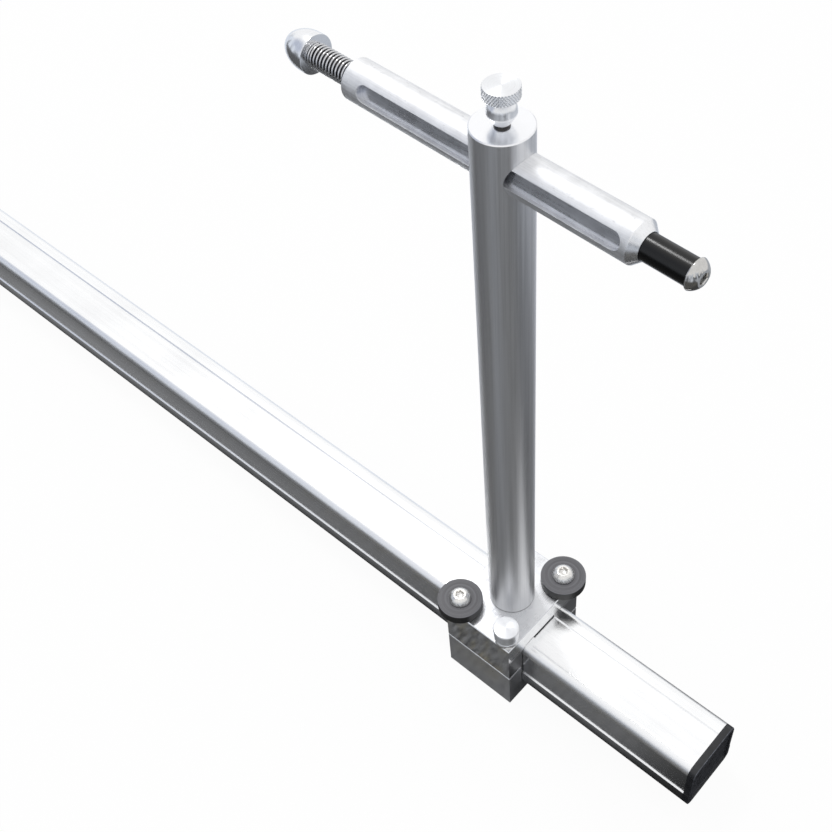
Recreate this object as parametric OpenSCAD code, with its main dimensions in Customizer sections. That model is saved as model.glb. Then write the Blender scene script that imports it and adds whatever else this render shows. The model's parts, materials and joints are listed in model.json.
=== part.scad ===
// Toe alignment bar: a long aluminium bar that lies across a car's width, with an upright
// on a sliding carriage near each end. Each upright holds an arm with a sprung contact
// plunger at wheel height, pointing out towards its tyre.
// Origin: on the ground under the middle of the bar. +X runs along the bar to the near end.

/* [Bar] */
// Length of the bar extrusion
bar_len = 1828.8; // [1400:0.1:2400]
// Width of the bar between its side walls
bar_w = 47.0; // [40:0.1:60]
// Height of the bar
bar_h = 48.0; // [40:0.1:60]
// Wall thickness of the bar
bar_wall = 3.0; // [2:0.1:4.5]
// Radius of the bar's top corners
bar_top_r = 7.0; // [5:0.1:9]
// Radius of the bar's bottom corners
bar_foot_r = 5.2; // [3.2:0.1:8]
// Width of the shallow channel in the bar's top and bottom faces
channel_w = 22.6; // [12:0.1:26]
// Depth of that channel
channel_depth = 1.5; // [0.6:0.1:1.6]
// How far the lower lip stands out of each side wall
lip_out = 0.8; // [0.4:0.1:1.5]
// Height of the lower lip above the bar's bottom face
lip_h = 15.0; // [9:0.1:20]

/* [End caps] */
// Thickness of an end cap outside the bar
cap_t = 5.0; // [4:0.1:10]
// Length of the plug that goes into the bar
cap_plug_len = 18.0; // [10:0.1:30]
// Wall thickness of that plug
cap_plug_wall = 2.4; // [1.5:0.1:4]
// Width of the raised frame round the cap's face
cap_frame_w = 4.0; // [2.5:0.1:7]
// Depth of the panel inside the frame
cap_panel_depth = 1.0; // [0.5:0.1:2]
// Slack of the plug in the bar, per side
cap_fit = 0.1; // [0.05:0.01:0.2]

/* [Carriage] */
// Length of the carriage along the bar
block_len = 57.15; // [48:0.05:90]
// Thickness of the saddle's roof over the bar
roof_t = 14.1; // [13.5:0.1:25]
// Thickness of the keeper's floor under the bar
floor_t = 12.0; // [10:0.1:20]
// Thickness of the cheeks beside the bar
cheek_t = 13.4; // [12.6:0.1:20]
// Slack between bar and carriage, per side
bar_fit = 0.4; // [0.3:0.05:0.8]
// Gap between saddle and keeper
split_gap = 0.3; // [0.2:0.05:1]
// Chamfer on the edges of both blocks
block_chamfer = 0.6; // [0.2:0.1:1.5]
// Distance of the post's axis from the bar's end
post_from_end = 166.1; // [120:0.1:400]

/* [Bumper discs] */
// Diameter of a bumper disc
disc_d = 31.75; // [26:0.05:36]
// Thickness of a bumper disc
disc_t = 8.2; // [5:0.1:14]
// Free play of a disc above and below
disc_play = 0.35; // [0.3:0.05:0.6]
// Distance of the disc screws from the block's ends
disc_edge = 6.9; // [6:0.1:10]
// Diameter of a disc screw's shank
disc_screw_d = 9.5; // [8:0.05:9.5]
// Diameter of a disc screw's button head
disc_head_d = 16.0; // [15:0.1:18]
// Height of that head
disc_head_h = 5.0; // [4.2:0.1:6]
// Wall between a screw hole and the bar's slot
screw_wall = 0.9; // [0.6:0.1:1.5]
// Depth of the threaded holes in the keeper
thread_depth = 20.0; // [12:0.1:24]
// Outer diameter of the bush that a disc turns on
bush_d = 12.6; // [12:0.1:14]

/* [Clamp screws] */
// Diameter of a clamp screw's knob
clamp_knob_d = 18.2; // [14:0.1:20]
// Height of that knob above its washer
clamp_knob_h = 13.3; // [8:0.1:20]
// Thickness of the washer under the knob
clamp_washer_t = 1.2; // [0.8:0.1:2.5]
// Diameter of the clamp stud
clamp_stud_d = 7.94; // [6:0.01:9.5]
// Distance of the clamp screws from the block's ends
clamp_edge = 8.4; // [6.5:0.1:12]

/* [Post] */
// Diameter of the post
post_d = 31.75; // [28:0.05:34]
// Length of the post above the saddle
post_len = 406.4; // [250:0.1:600]
// How far the post is turned on its saddle, degrees
post_turn = -3.4; // [-12:0.1:12]
// Diameter of the pilot under the post
pilot_d = 19.0; // [14:0.1:22]
// Depth of the pilot in the saddle
pilot_depth = 5.5; // [3:0.1:5.8]
// Diameter of the bolt that holds the post
post_bolt_d = 9.5; // [7.9:0.05:9.5]
// Diameter of that bolt's countersunk head
post_bolt_head_d = 17.6; // [15:0.1:18]

/* [Arm] */
// Diameter of the arm
arm_d = 22.8; // [20:0.1:24]
// Distance of the arm's axis below the post's top
arm_drop = 22.2; // [18:0.1:40]
// Reach of the arm's nose from the post's axis
arm_front = 86.3; // [70:0.1:120]
// Reach of the arm's rear end from the post's axis
arm_rear = 101.6; // [80:0.1:150]
// Length of the chamfer at the arm's nose
nose_len = 4.2; // [2.5:0.1:6]
// Diameter of the flat at the arm's nose
nose_d = 14.9; // [14.6:0.1:18]
// Chamfer on the arm's rear end
rear_chamfer = 0.8; // [0.3:0.1:3.5]
// Width of the arm's milled slot
slot_w = 9.3; // [5:0.1:10]
// Depth of that slot
slot_depth = 3.9; // [2:0.1:4.2]
// Plain length between slot and rear end
slot_rear_land = 11.6; // [6:0.1:20]
// Plain length between slot and nose
slot_front_land = 7.5; // [6.5:0.1:30]
// How far the slot is turned up from the arm's side, degrees
slot_tilt = 18; // [-20:1:45]

/* [Plunger] */
// Diameter of the plunger rod
rod_d = 9.5; // [7:0.05:9.5]
// Diameter of the black sleeve at the nose
sleeve_d = 13.9; // [12.5:0.1:14]
// How far the sleeve stands out of the nose
sleeve_out = 25.0; // [14:0.1:40]
// Length of the sleeve inside the arm
sleeve_in = 26.6; // [18:0.1:40]
// Diameter of the contact tip's button head
tip_d = 16.0; // [13:0.1:18]
// Height of the contact tip
tip_h = 4.9; // [3.5:0.1:7]
// Diameter of the ball knob
knob_d = 22.2; // [19:0.1:26]
// Length of the knob's straight part
knob_straight = 4.0; // [2:0.1:8]
// Length of the ball knob in all
knob_len = 20.6; // [18:0.1:26]
// Radius of the knob's crown
knob_crown_r = 8.6; // [7:0.1:9]
// Outer diameter of the spring
spring_d = 13.9; // [13:0.1:17]
// Diameter of the spring's wire
wire_d = 1.15; // [0.8:0.05:1.2]
// Length of the gap that the spring fills
spring_len = 31.4; // [28:0.1:36]
// Number of turns of the spring
spring_turns = 11; // [8:1:11]

/* [Thumb screw] */
// Diameter of the knurled head
thumb_d = 18.4; // [15:0.1:24]
// Height of the knurled head
thumb_head_h = 5.8; // [4:0.1:10]
// Height of the head's top above the post
thumb_top = 21.3; // [18:0.1:30]
// Diameter of the collar under the head
collar_d = 14.9; // [12.5:0.1:18]
// Diameter of the thumb screw's stud
thumb_stud_d = 7.94; // [6:0.01:9]
// Gap between collar and post
collar_gap = 1.3; // [0.8:0.1:3]

/* [Fits] */
// Radial clearance of what turns or slides in a bore
running_fit = 0.05; // [0.02:0.01:0.09]
// Radial clearance of a threaded or plain screw in its hole
screw_fit = 0.05; // [0.02:0.01:0.09]
// Gap between a piece and the seat that it moves off
seat_gap = 0.3; // [0.2:0.05:0.4]

/* [Hidden] */
$fn = 64;
tiny = 0.01;
small_edge = 0.4;
aluminium = "#c9cbd0";
bright = "#e3e5ea";
drawn = "#8b8d92";
steel = "#b9babd";
black = "#232427";

// Heights of the carriage, from the ground up
bar_z = floor_t + bar_fit;
bar_top_z = bar_z + bar_h;
split_z = bar_z + bar_h / 2;
keeper_top = split_z - split_gap / 2;
saddle_base = split_z + split_gap / 2;
plate_z = bar_top_z + bar_fit + roof_t;

// Widths of the carriage
lip_w = bar_w + 2 * lip_out;
slot_half = lip_w / 2 + bar_fit;
block_w = 2 * (slot_half + cheek_t);

// Screw places on the carriage
disc_y = slot_half + screw_wall + disc_screw_d / 2;
disc_x = block_len / 2 - disc_edge;
clamp_x = block_len / 2 - clamp_edge;
clamp_y = disc_y;
post_x = bar_len / 2 - post_from_end;

// Shares of a button head: its rim, its flat top, its socket's width and depth
head_rim = 0.12;
head_flat = 0.27;
socket_share = 0.36;
socket_depth = 0.58;

// The arm's stations along its own axis, from the post's axis
arm_z = plate_z + post_len - arm_drop;
knob_face = -arm_rear - spring_len;
sleeve_back = arm_front - sleeve_in;
tip_base = arm_front + sleeve_out;

// Clamp knob: shares of its radius and its height, from the foot up
clamp_profile = [[0.86, 0], [0.92, 0.05], [0.92, 0.12], [0.87, 0.15], [0.87, 0.19], [0.95, 0.26],
    [1, 0.93], [0.95, 1]];

// Collar of the thumb screw: shares of its radius and its height, from the foot up
collar_profile = [[0.58, 0], [0.97, 0.35], [1, 0.4], [0.94, 0.63], [0.9, 0.68], [0.7, 0.83],
    [0.67, 1]];

// Roundings and grips that follow from the sizes above
cap_panel_r = max(bar_top_r - cap_frame_w, 1);
bush_h = disc_t + 2 * disc_play;
disc_screw_len = plate_z + bush_h - keeper_top + thread_depth;
clamp_knob_z = plate_z + clamp_washer_t + seat_gap;
clamp_grip = 0.65 * clamp_knob_h;
post_top = plate_z + post_len;
thumb_grip = 0.6 * (thumb_top - collar_gap);
csk_lift = 0.3;
csk_z = bar_top_z + bar_fit + csk_lift;
csk_h = (post_bolt_head_d - post_bolt_d) / 2;
bolt_reach = 2.4 * post_bolt_d;
rod_grip = 12;
tip_shank_d = 0.45 * sleeve_d;
tip_shank = 9;

// Places one carriage's pieces at each end of the bar
module at_near() translate([post_x, 0, 0]) children();
module at_far() rotate(180) translate([post_x, 0, 0]) children();

// Places what turns with the post
module on_post() rotate(post_turn) children();

// Turns a shape made round Z so that it lies along the arm, pointing to the nose
module along_arm() translate([0, 0, arm_z]) rotate([0, 90, 0]) children();

// A rectangle standing on the Y axis's zero with a corner radius for its top and its foot
module rounded_section(w, h, top_r, foot_r) {
    translate([-w / 2, foot_r]) square([w, h - top_r - foot_r]);
    translate([-w / 2 + top_r, h / 2]) square([w - 2 * top_r, h / 2]);
    translate([-w / 2 + foot_r, 0]) square([w - 2 * foot_r, h / 2]);
    for (side = [-1, 1]) {
        translate([side * (w / 2 - top_r), h - top_r]) circle(top_r);
        translate([side * (w / 2 - foot_r), foot_r]) circle(foot_r);
    }
}

// The bar's outer outline: rounded top, lower lip, and a shallow channel top and bottom
module bar_outline(channels = true) {
    difference() {
        union() {
            rounded_section(bar_w, bar_h, bar_top_r, bar_foot_r);
            intersection() {
                rounded_section(lip_w, bar_h, bar_top_r, bar_foot_r);
                translate([-lip_w / 2, 0]) square([lip_w, lip_h]);
            }
        }
        if (channels) for (z = [-channel_depth, bar_h - channel_depth])
            translate([-channel_w / 2, z]) square([channel_w, 2 * channel_depth]);
    }
}

// The bar's hollow, and the same shape with slack for the cap's plug
module bar_hollow(slack = 0) {
    inset = bar_wall + slack;
    translate([0, inset + channel_depth / 2])
        rounded_section(bar_w - 2 * inset, bar_h - 2 * inset - channel_depth,
            max(bar_top_r - inset, 1), max(bar_foot_r - inset, 1));
}

// Lays an outline drawn in Y and Z along the bar's length
module along_bar(length) {
    rotate([90, 0, 90]) linear_extrude(length) children();
}

// A block with chamfered edges, standing on z = 0
module chamfered_block(length, width, height, c) {
    section = function (w, h) [[-w / 2, c], [-w / 2 + c, 0], [w / 2 - c, 0], [w / 2, c],
        [w / 2, h - c], [w / 2 - c, h], [-w / 2 + c, h], [-w / 2, h - c]];
    intersection() {
        translate([-length / 2, 0, 0]) along_bar(length) polygon(section(width, height));
        translate([0, width / 2, 0]) rotate([90, 0, 0])
            linear_extrude(width) polygon(section(length, height));
    }
}

// A button head standing on z = 0: low rim, domed crown with a flat top, hexagon socket
module button_head(d, h) {
    rim = head_rim * h;
    crown = h - rim;
    flat_r = head_flat * d;
    drop = (pow(d / 2, 2) - pow(flat_r, 2) - pow(crown, 2)) / (2 * crown);
    ball_r = sqrt(pow(d / 2, 2) + pow(drop, 2));
    difference() {
        rotate_extrude() {
            square([d / 2, rim]);
            intersection() {
                translate([0, rim - drop]) circle(ball_r, $fn = 128);
                translate([0, rim]) square([d / 2, crown]);
            }
        }
        translate([0, 0, h * (1 - socket_depth)])
            cylinder(r = socket_share * d / sqrt(3), h = h, $fn = 6);
    }
}

// A plain ring standing on z = 0
module ring(outer_d, inner_d, height) {
    difference() {
        cylinder(d = outer_d, h = height);
        translate([0, 0, -1]) cylinder(d = inner_d, h = height + 2);
    }
}

// The two corners that carry discs, and the two that carry clamp screws
module disc_places() {
    for (side = [-1, 1]) translate([side * disc_x, side * disc_y, 0]) children();
}
module clamp_place(side) translate([side * clamp_x, -side * clamp_y, 0]) children();

// The four screw holes, from the threads' ends in the keeper to above the saddle
module screw_holes() {
    disc_places() translate([0, 0, keeper_top - thread_depth])
        cylinder(d = disc_screw_d + 2 * screw_fit, h = plate_z);
    for (side = [-1, 1]) clamp_place(side) translate([0, 0, keeper_top - thread_depth])
        cylinder(d = clamp_stud_d + 2 * running_fit, h = plate_z);
}

module bar() {
    color(aluminium) translate([-bar_len / 2, 0, bar_z]) along_bar(bar_len)
        difference() {
            bar_outline();
            bar_hollow();
        }
}

// End cap at the bar's +X end: the bar's outline without its channels, bevelled front, framed
// panel and hollow plug
module end_cap() {
    bevel = cap_t / 5;
    panel_w = bar_w - 2 * cap_frame_w;
    panel_h = bar_h - 2 * cap_frame_w;
    color(black) translate([bar_len / 2, 0, bar_z]) {
        difference() {
            union() {
                along_bar(cap_t - bevel) bar_outline(false);
                translate([cap_t - bevel, 0, bar_h / 2]) rotate([90, 0, 90])
                    linear_extrude(bevel, scale = [1 - 2 * bevel / lip_w, 1 - 2 * bevel / bar_h])
                        translate([0, -bar_h / 2]) bar_outline(false);
            }
            translate([cap_t - cap_panel_depth, 0, cap_frame_w]) along_bar(cap_t)
                rounded_section(panel_w, panel_h, cap_panel_r, cap_panel_r);
        }
        translate([-cap_plug_len, 0, 0]) along_bar(cap_plug_len) difference() {
            bar_hollow(cap_fit);
            bar_hollow(cap_fit + cap_plug_wall);
        }
    }
}

// Upper block: sits over the bar, carries the post and the screws' heads
module saddle() {
    color(bright) difference() {
        translate([0, 0, saddle_base])
            chamfered_block(block_len, block_w, plate_z - saddle_base, block_chamfer);
        translate([-block_len, 0, bar_z - bar_fit]) along_bar(2 * block_len)
            rounded_section(bar_w + 2 * bar_fit, bar_h + 2 * bar_fit,
                bar_top_r + bar_fit, bar_foot_r);
        screw_holes();
        translate([0, 0, plate_z - pilot_depth - seat_gap])
            cylinder(d = pilot_d + 2 * screw_fit, h = plate_z);
        cylinder(d = post_bolt_d + 2 * screw_fit, h = plate_z);
        translate([0, 0, csk_z - csk_lift])
            cylinder(d = post_bolt_head_d + 2 * screw_fit, h = csk_lift + tiny);
        translate([0, 0, csk_z]) cylinder(d1 = post_bolt_head_d + 2 * screw_fit,
            d2 = post_bolt_d + 2 * screw_fit, h = csk_h);
    }
}

// Lower block: holds the bar up into the saddle, and stands on the ground
module keeper() {
    color(drawn) difference() {
        chamfered_block(block_len, block_w, keeper_top, block_chamfer);
        translate([-block_len, 0, bar_z - bar_fit]) along_bar(2 * block_len)
            rounded_section(2 * slot_half, bar_h + 2 * bar_fit,
                bar_top_r + bar_fit, bar_foot_r + bar_fit);
        screw_holes();
    }
}

module disc_bushes() {
    color(black) disc_places() translate([0, 0, plate_z])
        ring(bush_d, disc_screw_d + 2 * screw_fit, bush_h);
}

module disc_screws() {
    color(steel) disc_places() {
        translate([0, 0, keeper_top - thread_depth + 1])
            cylinder(d = disc_screw_d, h = disc_screw_len);
        translate([0, 0, plate_z + bush_h]) button_head(disc_head_d, disc_head_h);
    }
}

// Bumper disc with broken edges; side is -1 at the rear left corner, 1 at the front right
module bumper_disc(side) {
    bore_r = bush_d / 2 + running_fit;
    edge = disc_t / 14;
    color(black) translate([side * disc_x, side * disc_y, plate_z + disc_play])
        rotate_extrude() polygon([[bore_r, 0], [disc_d / 2 - edge, 0], [disc_d / 2, edge],
            [disc_d / 2, disc_t - edge], [disc_d / 2 - edge, disc_t], [bore_r, disc_t]]);
}

module clamp_washers() {
    color(steel) for (side = [-1, 1]) clamp_place(side) translate([0, 0, plate_z])
        ring(clamp_knob_d - 1.6, clamp_stud_d + 2 * seat_gap, clamp_washer_t);
}

// Turned knob: foot ring, groove, slightly flared body with a broken top edge
module clamp_knob(side) {
    r = clamp_knob_d / 2;
    h = clamp_knob_h;
    stud_r = clamp_stud_d / 2 + screw_fit;
    bore_end = clamp_grip + seat_gap;
    color(bright) clamp_place(side) translate([0, 0, clamp_knob_z]) rotate_extrude()
        polygon(concat([[stud_r, 0]], [for (p = clamp_profile) [p.x * r, p.y * h]],
            [[0, h], [0, bore_end], [stud_r, bore_end]]));
}

module clamp_stud(side) {
    color(steel) clamp_place(side) translate([0, 0, keeper_top - thread_depth + 1])
        cylinder(d = clamp_stud_d, h = clamp_knob_z + clamp_grip - keeper_top + thread_depth - 1);
}

// Round post with a pilot, a threaded hole for its bolt, a cross bore for the arm
// and a threaded hole down to that bore
module post() {
    edge = post_d / 60;
    color(drawn) difference() {
        union() {
            translate([0, 0, plate_z]) rotate_extrude() polygon([[0, 0], [post_d / 2, 0],
                [post_d / 2, post_len - edge], [post_d / 2 - edge, post_len], [0, post_len]]);
            translate([0, 0, plate_z - pilot_depth]) cylinder(d = pilot_d, h = pilot_depth + 1);
        }
        on_post() translate([0, 0, arm_z]) rotate([0, 90, 0])
            cylinder(d = arm_d + 2 * running_fit, h = 2 * post_d, center = true);
        translate([0, 0, arm_z]) cylinder(d = thumb_stud_d + 2 * running_fit, h = post_len);
        translate([0, 0, plate_z - post_len + bolt_reach])
            cylinder(d = post_bolt_d + 2 * screw_fit, h = post_len);
    }
}

// Countersunk bolt up through the saddle's roof into the post
module post_bolt() {
    color(steel) difference() {
        union() {
            translate([0, 0, csk_z])
                cylinder(d1 = post_bolt_head_d, d2 = post_bolt_d, h = csk_h);
            translate([0, 0, csk_z + csk_h - tiny])
                cylinder(d = post_bolt_d, h = plate_z + bolt_reach - 1 - csk_z - csk_h);
        }
        translate([0, 0, csk_z - 1])
            cylinder(r = socket_share * post_bolt_head_d / 2, h = 1 + csk_h / 2, $fn = 6);
    }
}

// Thumb screw's head and its collar, turned from one bar
module thumb_head() {
    head_r = thumb_d / 2;
    collar_r = collar_d / 2;
    stud_r = thumb_stud_d / 2 + screw_fit;
    collar_h = thumb_top - thumb_head_h - collar_gap;
    bore_z = collar_gap + thumb_grip + seat_gap;
    foot_r = stud_r + small_edge / 2;
    head_z = thumb_top - thumb_head_h;
    collar = [for (p = collar_profile)
        [max(p.x * collar_r, foot_r), collar_gap + p.y * collar_h]];
    color(bright) translate([0, 0, post_top]) rotate_extrude() polygon(concat(
        [[stud_r, collar_gap]], collar,
        [[head_r - small_edge, head_z], [head_r, head_z + small_edge],
        [head_r, thumb_top - small_edge], [head_r - small_edge, thumb_top], [0, thumb_top],
        [0, bore_z], [stud_r, bore_z]]));
}

module thumb_stud() {
    foot = arm_z + arm_d / 2 + seat_gap;
    color(black) translate([0, 0, foot])
        cylinder(d = thumb_stud_d, h = post_top + collar_gap + thumb_grip - foot);
}

// Arm: bored for the rod, counterbored for the sleeve, coned nose, milled slot on its side
module arm() {
    r = arm_d / 2;
    bore_r = rod_d / 2 + running_fit;
    sleeve_r = sleeve_d / 2 + running_fit;
    floor_s = sleeve_back - seat_gap;
    slot_from = -arm_rear + slot_rear_land + slot_w / 2;
    slot_to = arm_front - slot_front_land - slot_w / 2;
    color(aluminium) on_post() along_arm() difference() {
        rotate_extrude() polygon([[bore_r, -arm_rear], [r - rear_chamfer, -arm_rear],
            [r, -arm_rear + rear_chamfer], [r, arm_front - nose_len], [nose_d / 2, arm_front],
            [sleeve_r, arm_front], [sleeve_r, floor_s], [bore_r, floor_s]]);
        rotate(-slot_tilt) {
            for (s = [slot_from, slot_to]) translate([0, -r - 1, s]) rotate([-90, 0, 0])
                cylinder(d = slot_w, h = slot_depth + 1);
            translate([-slot_w / 2, -r - 1, slot_from])
                cube([slot_w, slot_depth + 1, slot_to - slot_from]);
        }
    }
}

module plunger_rod() {
    color(black) on_post() along_arm() translate([0, 0, knob_face - rod_grip])
        cylinder(d = rod_d, h = sleeve_back + rod_grip - knob_face + rod_grip);
}

// Black sleeve on the rod's front end, which slides in the nose and carries the tip
module plunger_sleeve() {
    r = sleeve_d / 2;
    length = tip_base - sleeve_back;
    color(black) on_post() along_arm() translate([0, 0, sleeve_back]) difference() {
        rotate_extrude() polygon([[0, 0], [r - small_edge, 0], [r, small_edge],
            [r, length - small_edge], [r - small_edge, length], [0, length]]);
        translate([0, 0, -1]) cylinder(d = rod_d + 2 * screw_fit, h = 1 + rod_grip + seat_gap);
        translate([0, 0, length - tip_shank - seat_gap])
            cylinder(d = tip_shank_d + 2 * screw_fit, h = tip_shank + 1);
    }
}

module contact_tip() {
    color(steel) on_post() along_arm() {
        translate([0, 0, tip_base - tip_shank]) cylinder(d = tip_shank_d, h = tip_shank + 1);
        translate([0, 0, tip_base]) button_head(tip_d, tip_h);
    }
}

// Knob with a straight foot, a long shoulder arc and a crown arc that meet smoothly, bored
// for the rod
module ball_knob() {
    r = knob_d / 2;
    crown_z = knob_len - knob_straight - knob_crown_r;
    shoulder_r = (r * r + crown_z * crown_z - knob_crown_r * knob_crown_r)
        / (2 * (r - knob_crown_r));
    meet_z = crown_z * shoulder_r / (shoulder_r - knob_crown_r);
    color(bright) on_post() along_arm() translate([0, 0, knob_face]) difference() {
        rotate_extrude() {
            polygon([[0, -knob_straight], [r, -knob_straight], [r, -small_edge],
                [r - small_edge, 0], [0, 0]]);
            intersection() {
                translate([r - shoulder_r, -knob_straight]) circle(shoulder_r, $fn = 192);
                translate([0, -knob_straight - meet_z]) square([r, meet_z + tiny]);
            }
            intersection() {
                translate([0, -knob_straight - crown_z]) circle(knob_crown_r);
                translate([0, -knob_straight - 2 * r]) square([r, 2 * r - meet_z + tiny]);
            }
        }
        translate([0, 0, -rod_grip - seat_gap])
            cylinder(d = rod_d + 2 * screw_fit, h = rod_grip + 1);
    }
}

// The spring's path lies on a cylinder round the rod. Each station is [place, angle]:
// a straight end one wire diameter long, a bend into the helix, the turns, and the same back.
coil_r = (spring_d - wire_d) / 2;
coil_rings = 8;
wire_sides = 6;
bend_r = 0.9 * wire_d;
spring_from = knob_face + seat_gap;
spring_to = -arm_rear - seat_gap;
helix_from = spring_from + wire_d + bend_r;
helix_to = spring_to - wire_d - bend_r;
turn_step = 360 / coil_rings;
bend_turn = bend_r / coil_r * 180 / PI;
helix_end = 2 * bend_turn + spring_turns * 360;
spring_stations = concat(
    [[spring_from, 0], [spring_from + wire_d, 0]],
    [for (a = [30, 60]) [spring_from + wire_d + bend_r * sin(a), bend_turn * (1 - cos(a))]],
    [for (i = [0:spring_turns * coil_rings]) [helix_from + (helix_to - helix_from) * i
        / (spring_turns * coil_rings), bend_turn + i * turn_step]],
    [for (a = [30, 60]) [helix_to + bend_r * (1 - cos(a)), helix_end - bend_turn * (1 - sin(a))]],
    [[spring_to - wire_d, helix_end], [spring_to, helix_end]]);
spring_path = [for (p = spring_stations) [coil_r * cos(p[1]), coil_r * sin(p[1]), p[0]]];
last_ring = len(spring_path) - 1;

// Direction of the path at ring i
function heading(i) = let (d = spring_path[min(i + 1, last_ring)] - spring_path[max(i - 1, 0)])
    d / norm(d);

// Six points round the wire at ring i, square to the path
function wire_ring(i) = let (t = heading(i), a = spring_stations[i][1],
    out = [cos(a), sin(a), 0], n = out - (out * t) * t, side = cross(t, n / norm(n)))
    [for (k = [0:wire_sides - 1]) spring_path[i] + wire_d / 2
        * (cos(k * 360 / wire_sides) * n / norm(n) + sin(k * 360 / wire_sides) * side)];

// Least distance between turns of the wire, surface to surface, measured on the path's points
spring_gap = min([for (i = [0:last_ring]) for (k = [i + 5:last_ring])
    if (spring_stations[k][1] - spring_stations[i][1] > 180)
        norm(spring_path[k] - spring_path[i])]) - wire_d;
echo(spring_least_gap = spring_gap);

// Compression spring between the ball knob and the arm's rear end, one unbroken wire
module spring() {
    points = [for (i = [0:last_ring]) each wire_ring(i)];
    sides = [for (i = [0:last_ring - 1]) for (k = [0:wire_sides - 1])
        let (a = i * wire_sides + k, b = i * wire_sides + (k + 1) % wire_sides,
            c = a + wire_sides, d = b + wire_sides)
        each [[a, c, b], [b, c, d]]];
    foot = [for (k = [1:wire_sides - 2]) [0, k, k + 1]];
    top = last_ring * wire_sides;
    head = [for (k = [1:wire_sides - 2]) [top, top + k + 1, top + k]];
    color(steel) on_post() along_arm() rotate(180)
        polyhedron(points, concat(sides, foot, head));
}

bar();
end_cap();  // near_end_cap
rotate(180) end_cap();  // far_end_cap
at_near() saddle();  // near_saddle
at_near() keeper();  // near_keeper
at_near() post();  // near_post
at_near() post_bolt();  // near_post_bolt
at_near() disc_bushes();  // near_disc_bushes
at_near() disc_screws();  // near_disc_screws
at_near() clamp_washers();  // near_clamp_washers
at_near() bumper_disc(-1);  // near_disc_rear
at_near() bumper_disc(1);  // near_disc_front
at_near() clamp_knob(1);  // near_clamp_knob_front
at_near() clamp_stud(1);  // near_clamp_stud_front
at_near() clamp_knob(-1);  // near_clamp_knob_rear
at_near() clamp_stud(-1);  // near_clamp_stud_rear
at_near() thumb_head();  // near_thumb_head
at_near() thumb_stud();  // near_thumb_stud
at_near() arm();  // near_arm
at_near() plunger_rod();  // near_plunger_rod
at_near() plunger_sleeve();  // near_plunger_sleeve
at_near() ball_knob();  // near_ball_knob
at_near() contact_tip();  // near_contact_tip
at_near() spring();  // near_spring
at_far() saddle();  // far_saddle
at_far() keeper();  // far_keeper
at_far() post();  // far_post
at_far() post_bolt();  // far_post_bolt
at_far() disc_bushes();  // far_disc_bushes
at_far() disc_screws();  // far_disc_screws
at_far() clamp_washers();  // far_clamp_washers
at_far() bumper_disc(-1);  // far_disc_rear
at_far() bumper_disc(1);  // far_disc_front
at_far() clamp_knob(1);  // far_clamp_knob_front
at_far() clamp_stud(1);  // far_clamp_stud_front
at_far() clamp_knob(-1);  // far_clamp_knob_rear
at_far() clamp_stud(-1);  // far_clamp_stud_rear
at_far() thumb_head();  // far_thumb_head
at_far() thumb_stud();  // far_thumb_stud
at_far() arm();  // far_arm
at_far() plunger_rod();  // far_plunger_rod
at_far() plunger_sleeve();  // far_plunger_sleeve
at_far() ball_knob();  // far_ball_knob
at_far() contact_tip();  // far_contact_tip
at_far() spring();  // far_spring
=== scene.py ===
"""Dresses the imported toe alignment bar: turned, milled and moulded pieces with their finishes,
a pale floor, soft light and a camera at the photograph's angle."""

import json
import math

import bmesh
import bpy
from bpy.props import FloatProperty, FloatVectorProperty, IntProperty, PointerProperty
from bpy.types import Operator, Panel, PropertyGroup
from mathutils import Matrix, Vector


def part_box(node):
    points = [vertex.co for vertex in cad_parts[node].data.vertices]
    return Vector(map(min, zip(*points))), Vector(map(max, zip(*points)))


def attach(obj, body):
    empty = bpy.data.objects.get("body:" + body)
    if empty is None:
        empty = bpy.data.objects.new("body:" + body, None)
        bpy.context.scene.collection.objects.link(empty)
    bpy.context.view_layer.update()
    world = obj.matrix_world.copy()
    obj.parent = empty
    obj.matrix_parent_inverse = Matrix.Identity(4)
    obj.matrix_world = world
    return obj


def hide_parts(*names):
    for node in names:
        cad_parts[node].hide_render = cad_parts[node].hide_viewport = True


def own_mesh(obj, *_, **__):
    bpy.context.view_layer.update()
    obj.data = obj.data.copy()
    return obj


bl_info = {
    "name": "Toe alignment bar",
    "version": (1, 0, 0),
    "blender": (4, 5, 0),
    "location": "3D View > Sidebar > Toe bar",
    "description": "Builds the visible pieces, finishes and studio of a toe alignment bar",
    "category": "Object",
}

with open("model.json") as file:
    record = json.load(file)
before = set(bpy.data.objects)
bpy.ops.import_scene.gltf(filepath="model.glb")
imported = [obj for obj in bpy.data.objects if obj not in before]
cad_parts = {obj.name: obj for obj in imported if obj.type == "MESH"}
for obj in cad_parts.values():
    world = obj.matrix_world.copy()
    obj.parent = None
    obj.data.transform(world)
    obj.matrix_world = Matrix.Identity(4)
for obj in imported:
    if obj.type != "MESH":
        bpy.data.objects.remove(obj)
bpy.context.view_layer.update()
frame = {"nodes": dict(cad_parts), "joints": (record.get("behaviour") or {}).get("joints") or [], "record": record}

MM = 1000.0  # millimetres in a metre; the materials work in millimetres
TENTH = 0.0001  # a tenth of a millimetre in metres, for chamfers too small to name
QUARTER = math.pi / 2
MERGED = 1e-7  # points nearer than this, in metres, are one
SENSOR = 36  # width of the camera's sensor in millimetres

# What the record says of each node: the finish it is given and the body it belongs to
SLOTS = {part["node"]: part["material_slot"] for part in frame["record"]["subparts"]}
BODIES = {node: body for body, nodes in frame["record"]["behaviour"]["bodies"].items()
          for node in nodes}

# The turn that carries a piece of the near end to each end of the bar
ENDS = {"near": Matrix.Identity(4), "far": Matrix.Rotation(math.pi, 4, "Z")}

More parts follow.
